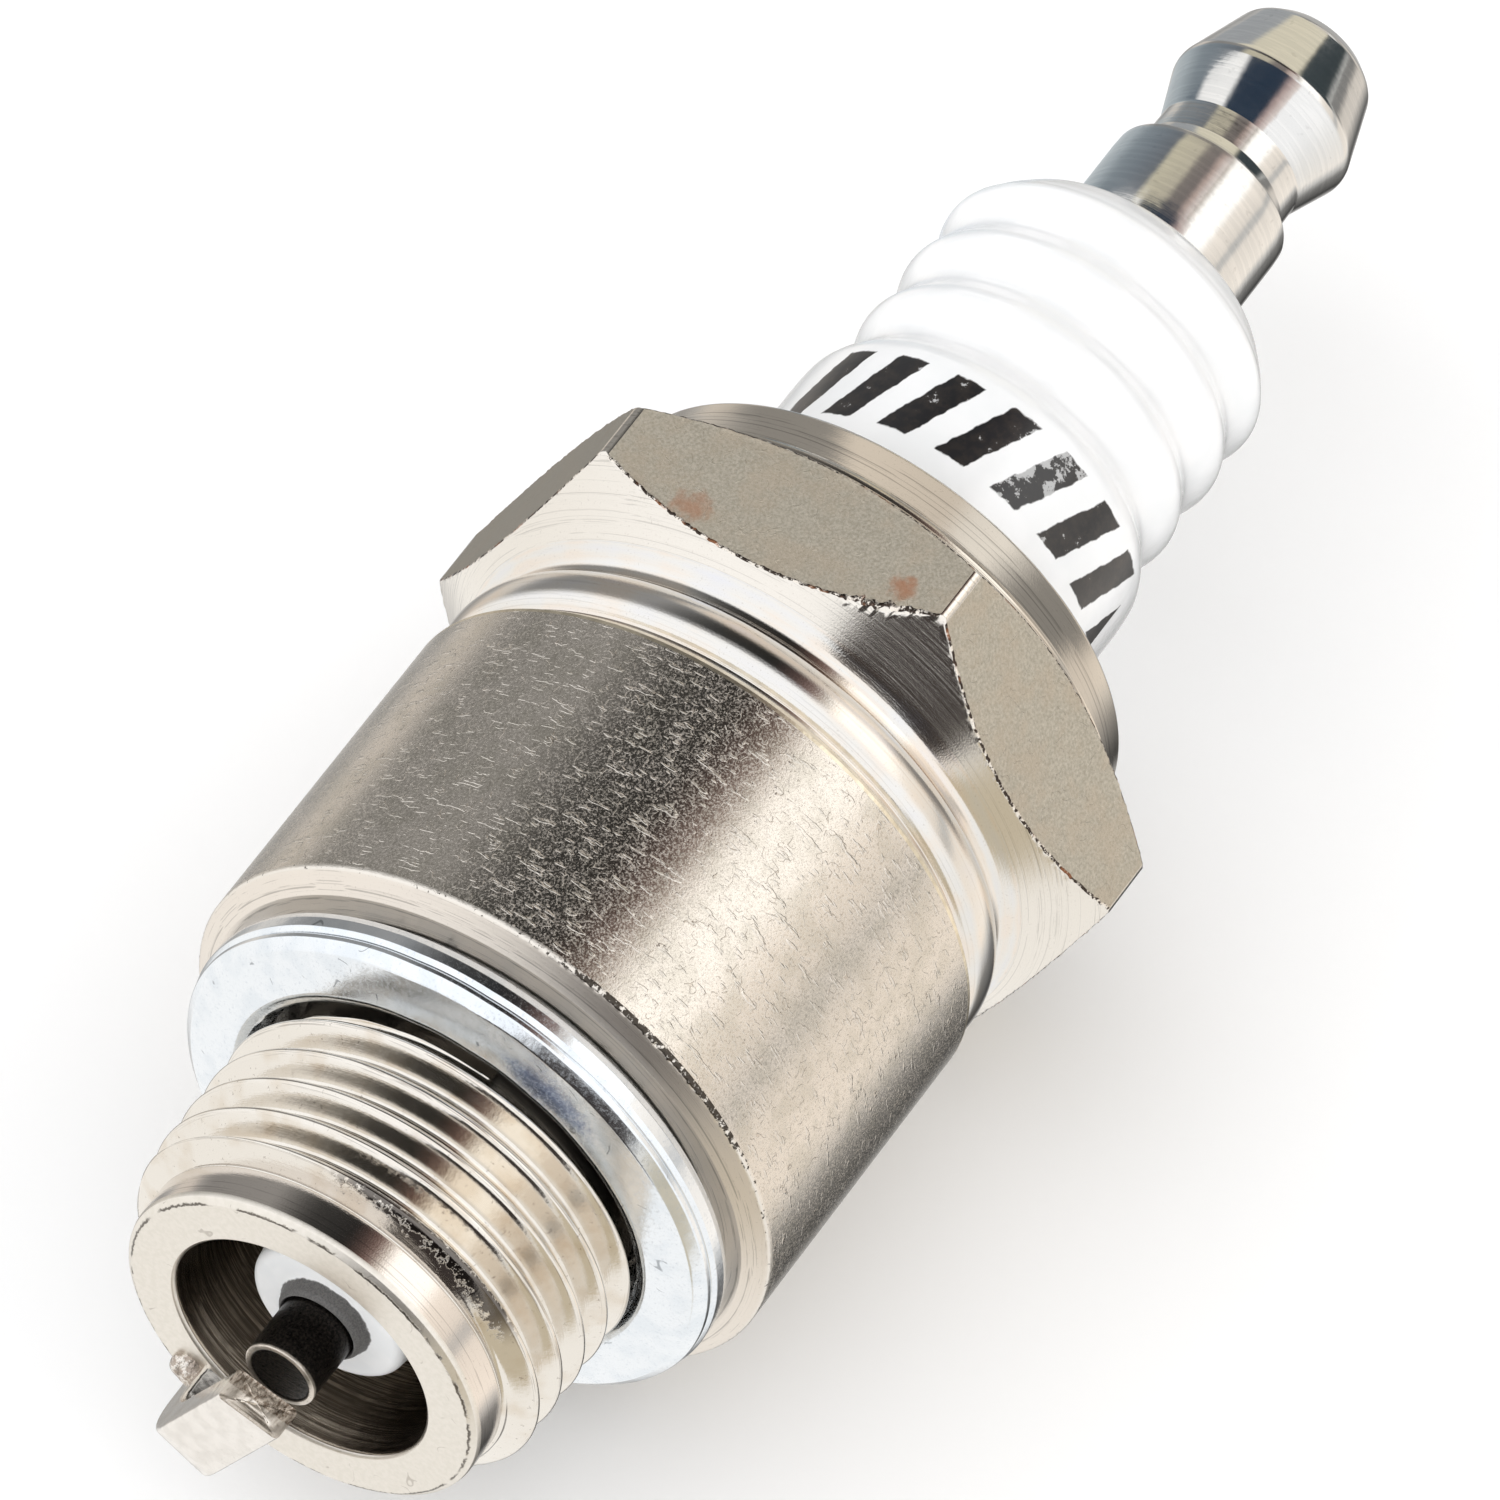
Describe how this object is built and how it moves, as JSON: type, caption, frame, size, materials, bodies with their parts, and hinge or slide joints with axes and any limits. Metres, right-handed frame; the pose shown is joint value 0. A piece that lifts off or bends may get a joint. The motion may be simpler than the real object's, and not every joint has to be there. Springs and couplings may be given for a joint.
{
  "type": "spark plug",
  "caption": "Short-reach spark plug with a threaded, hexagon-headed steel shell, captive gasket, ribbed ceramic insulator, bent ground strap and solid barrel terminal.",
  "frame": {"origin": "on the plug's axis in the plane of the shell's gasket seat", "axes": "+X along the axis from the firing end to the terminal, +Z out of the hexagon flat opposite the one the plug lies on"},
  "size_m": [0.061, 0.0236, 0.0206],
  "materials": {
    "nickel_plate": "nickel plate with fine pits on the barrel and turned rings on the cones",
    "electrode_nickel": "satin nickel alloy with a sheared end",
    "zinc_plate": "bluish bright zinc",
    "alumina": "white glaze above the shell, matt nose",
    "soft_steel": "plain soft steel",
    "talc": "pressed powder",
    "centre_nickel": "dark drawn nickel alloy with a bright tip rim",
    "copper": "drawn copper",
    "glass_seal": "fired copper-glass mix",
    "resistor_mix": "fired carbon-glass mix",
    "terminal_plate": "bright nickel plate"
  },
  "bodies": {
    "plug": {"shell": "nickel_plate", "ground_electrode": "electrode_nickel", "insulator": "alumina", "internal_seat_washer": "soft_steel", "lower_packing_ring": "soft_steel", "talc_packing": "talc", "upper_packing_ring": "soft_steel", "centre_electrode": "centre_nickel", "centre_electrode_core": "copper", "lower_glass_seal": "glass_seal", "resistor_element": "resistor_mix", "upper_glass_seal": "glass_seal", "terminal_stud": "terminal_plate"},
    "gasket": {"gasket": "zinc_plate"}
  },
  "joints": [
    {"name": "gasket_turn", "type": "hinge", "parent": "plug", "child": "gasket", "pos_m": [0, 0, 0], "axis": [1, 0, 0], "continuous": true}
  ]
}
